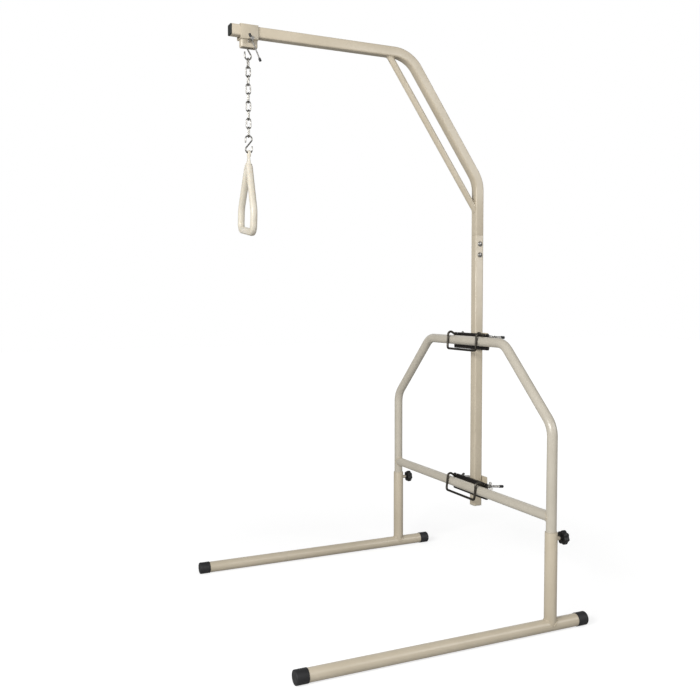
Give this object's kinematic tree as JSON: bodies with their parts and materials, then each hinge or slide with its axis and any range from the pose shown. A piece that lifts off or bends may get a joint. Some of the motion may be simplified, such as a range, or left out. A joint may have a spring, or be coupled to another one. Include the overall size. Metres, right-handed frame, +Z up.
{
  "type": "freestanding trapeze stand",
  "caption": "Freestanding overhead trapeze: tube base, arched upright frame, clamped mast with cranked boom, and a triangular handle on a chain",
  "frame": {"origin": "on the floor, under the centre of the bounding box in X and Y", "axes": "+Z up; -Y the way the boom reaches over the bed; +X to the side of the near base tube in the picture"},
  "size_m": [1.0098, 0.9714, 1.8227],
  "materials": {
    "beige_paint": "semi-gloss powder coat",
    "black_rubber": "matt black vinyl or rubber",
    "black_plastic": "moulded black plastic",
    "jaw_plastic": "moulded black plastic jaw",
    "zinc_steel": "bright zinc-plated steel",
    "dark_steel": "dark grey steel rod",
    "chain_steel": "zinc-plated welded chain and hooks",
    "ivory_plastic": "smooth ivory plastic",
    "pale_plastic": "moulded pale plastic plug"
  },
  "bodies": {
    "base": {"base_tube_near": "beige_paint", "base_cap_front_near": "black_rubber", "base_cap_back_near": "black_rubber", "sleeve_near": "beige_paint", "base_tube_far": "beige_paint", "base_cap_front_far": "black_rubber", "base_cap_back_far": "black_rubber", "sleeve_far": "beige_paint"},
    "knob_near_body": {"knob_near": "black_plastic", "knob_screw_near": "zinc_steel"},
    "knob_far_body": {"knob_far": "black_plastic", "knob_screw_far": "zinc_steel"},
    "arch": {"arch_tube": "beige_paint", "crossbar": "beige_paint"},
    "mast": {"mast_lower": "beige_paint", "mast_upper": "beige_paint", "brace": "beige_paint", "mast_insert": "zinc_steel", "mast_end_plug": "pale_plastic", "boom_end_plug": "black_plastic", "mast_joint_bolt_1": "zinc_steel", "mast_joint_bolt_2": "zinc_steel", "jaw_upper": "jaw_plastic", "clamp_plate_upper": "beige_paint", "rear_plate_upper": "beige_paint", "clamp_bolt_upper_near": "zinc_steel", "clamp_bolt_upper_far": "zinc_steel", "jaw_lower": "jaw_plastic", "clamp_plate_lower": "beige_paint", "rear_plate_lower": "beige_paint", "clamp_bolt_lower_near": "zinc_steel", "clamp_bolt_lower_far": "zinc_steel"},
    "rod_upper": {"clamp_rod_upper": "dark_steel", "rod_cap_upper_near": "black_rubber", "rod_cap_upper_far": "black_rubber"},
    "wing_upper_near": {"wing_nut_upper_near": "zinc_steel"},
    "wing_upper_far": {"wing_nut_upper_far": "zinc_steel"},
    "rod_lower": {"clamp_rod_lower": "dark_steel", "rod_cap_lower_near": "black_rubber", "rod_cap_lower_far": "black_rubber"},
    "wing_lower_near": {"wing_nut_lower_near": "zinc_steel"},
    "wing_lower_far": {"wing_nut_lower_far": "zinc_steel"},
    "trolley": {"trolley_bracket": "beige_paint"},
    "lock_screw": {"t_screw": "zinc_steel"},
    "lock_bar": {"t_bar": "zinc_steel", "t_bar_cap_upper": "black_rubber", "t_bar_cap_lower": "black_rubber"},
    "hook_upper": {"upper_hook": "chain_steel"},
    "link_1": {"chain_link_1": "chain_steel"},
    "link_2": {"chain_link_2": "chain_steel"},
    "link_3": {"chain_link_3": "chain_steel"},
    "link_4": {"chain_link_4": "chain_steel"},
    "link_5": {"chain_link_5": "chain_steel"},
    "link_6": {"chain_link_6": "chain_steel"},
    "link_7": {"chain_link_7": "chain_steel"},
    "link_8": {"chain_link_8": "chain_steel"},
    "link_9": {"chain_link_9": "chain_steel"},
    "hook_lower": {"lower_hook": "chain_steel"},
    "grip": {"handle": "ivory_plastic"}
  },
  "joints": [
    {"name": "knob_near_turn", "type": "hinge", "parent": "base", "child": "knob_near_body", "pos_m": [0.4835, 0.39875, 0.2825], "axis": [0, 1, 0], "continuous": true},
    {"name": "knob_far_turn", "type": "hinge", "parent": "base", "child": "knob_far_body", "pos_m": [-0.4835, 0.39875, 0.2825], "axis": [0, 1, 0], "continuous": true},
    {"name": "height_adjust", "type": "slide", "parent": "base", "child": "arch", "axis": [0, 0, 1], "range_m": [-0.02, 0.15]},
    {"name": "mast_shift", "type": "slide", "parent": "arch", "child": "mast", "axis": [1, 0, 0], "range_m": [-0.115, 0.085]},
    {"name": "rod_upper_lift", "type": "slide", "parent": "mast", "child": "rod_upper", "axis": [0, 0.0523, 0.9986], "range_m": [0, 0.03]},
    {"name": "wing_upper_near_turn", "type": "hinge", "parent": "rod_upper", "child": "wing_upper_near", "pos_m": [0.1045, 0.38078, 0.87421], "axis": [0, 0.9986, -0.0523], "continuous": true},
    {"name": "wing_upper_far_turn", "type": "hinge", "parent": "rod_upper", "child": "wing_upper_far", "pos_m": [-0.0745, 0.38078, 0.87421], "axis": [0, 0.9986, -0.0523], "continuous": true},
    {"name": "rod_lower_lift", "type": "slide", "parent": "mast", "child": "rod_lower", "axis": [0, 0.1045, 0.9945], "range_m": [0, 0.03]},
    {"name": "wing_lower_near_turn", "type": "hinge", "parent": "rod_lower", "child": "wing_lower_near", "pos_m": [0.1045, 0.38153, 0.36247], "axis": [0, 0.9945, -0.1045], "continuous": true},
    {"name": "wing_lower_far_turn", "type": "hinge", "parent": "rod_lower", "child": "wing_lower_far", "pos_m": [-0.0745, 0.38153, 0.36247], "axis": [0, 0.9945, -0.1045], "continuous": true},
    {"name": "trolley_slide", "type": "slide", "parent": "mast", "child": "trolley", "axis": [0, -1, 0], "range_m": [-0.4, 0.018]},
    {"name": "lock_screw_turn", "type": "hinge", "parent": "trolley", "child": "lock_screw", "pos_m": [0.015, -0.42825, 1.7742], "axis": [1, 0, 0], "continuous": true},
    {"name": "lock_bar_slide", "type": "slide", "parent": "lock_screw", "child": "lock_bar", "axis": [0, -0.4019, 0.9157], "range_m": [0, 0.0522]},
    {"name": "hook_upper_swing", "type": "hinge", "parent": "trolley", "child": "hook_upper", "pos_m": [0.015, -0.42825, 1.7742], "axis": [1, 0, 0], "range_deg": [-12, 12]},
    {"name": "link_1_swing", "type": "hinge", "parent": "hook_upper", "child": "link_1", "pos_m": [0.015, -0.42825, 1.72255], "axis": [0, 1, 0], "range_deg": [-12, 12]},
    {"name": "link_2_swing", "type": "hinge", "parent": "link_1", "child": "link_2", "pos_m": [0.015, -0.42825, 1.6972], "axis": [1, -0.0063, 0], "range_deg": [-12, 12]},
    {"name": "link_3_swing", "type": "hinge", "parent": "link_2", "child": "link_3", "pos_m": [0.015, -0.42825, 1.6716], "axis": [0.0126, 0.9999, 0], "range_deg": [-12, 12]},
    {"name": "link_4_swing", "type": "hinge", "parent": "link_3", "child": "link_4", "pos_m": [0.015, -0.42825, 1.646], "axis": [0.9998, -0.0188, 0], "range_deg": [-12, 12]},
    {"name": "link_5_swing", "type": "hinge", "parent": "link_4", "child": "link_5", "pos_m": [0.015, -0.42825, 1.6204], "axis": [0.0251, 0.9997, 0], "range_deg": [-12, 12]},
    {"name": "link_6_swing", "type": "hinge", "parent": "link_5", "child": "link_6", "pos_m": [0.015, -0.42825, 1.5948], "axis": [0.9995, -0.0314, 0], "range_deg": [-12, 12]},
    {"name": "link_7_swing", "type": "hinge", "parent": "link_6", "child": "link_7", "pos_m": [0.015, -0.42825, 1.5692], "axis": [0.0377, 0.9993, 0], "range_deg": [-12, 12]},
    {"name": "link_8_swing", "type": "hinge", "parent": "link_7", "child": "link_8", "pos_m": [0.015, -0.42825, 1.5436], "axis": [0.999, -0.044, 0], "range_deg": [-12, 12]},
    {"name": "link_9_swing", "type": "hinge", "parent": "link_8", "child": "link_9", "pos_m": [0.015, -0.42825, 1.518], "axis": [0.0502, 0.9987, 0], "range_deg": [-12, 12]},
    {"name": "hook_lower_swing", "type": "hinge", "parent": "link_9", "child": "hook_lower", "pos_m": [0.015, -0.42825, 1.4924], "axis": [0.9984, -0.0565, 0], "range_deg": [-12, 12]},
    {"name": "handle_swing", "type": "hinge", "parent": "hook_lower", "child": "grip", "pos_m": [0.015, -0.42825, 1.44525], "axis": [0.0628, 0.998, 0], "range_deg": [-20, 4]}
  ]
}
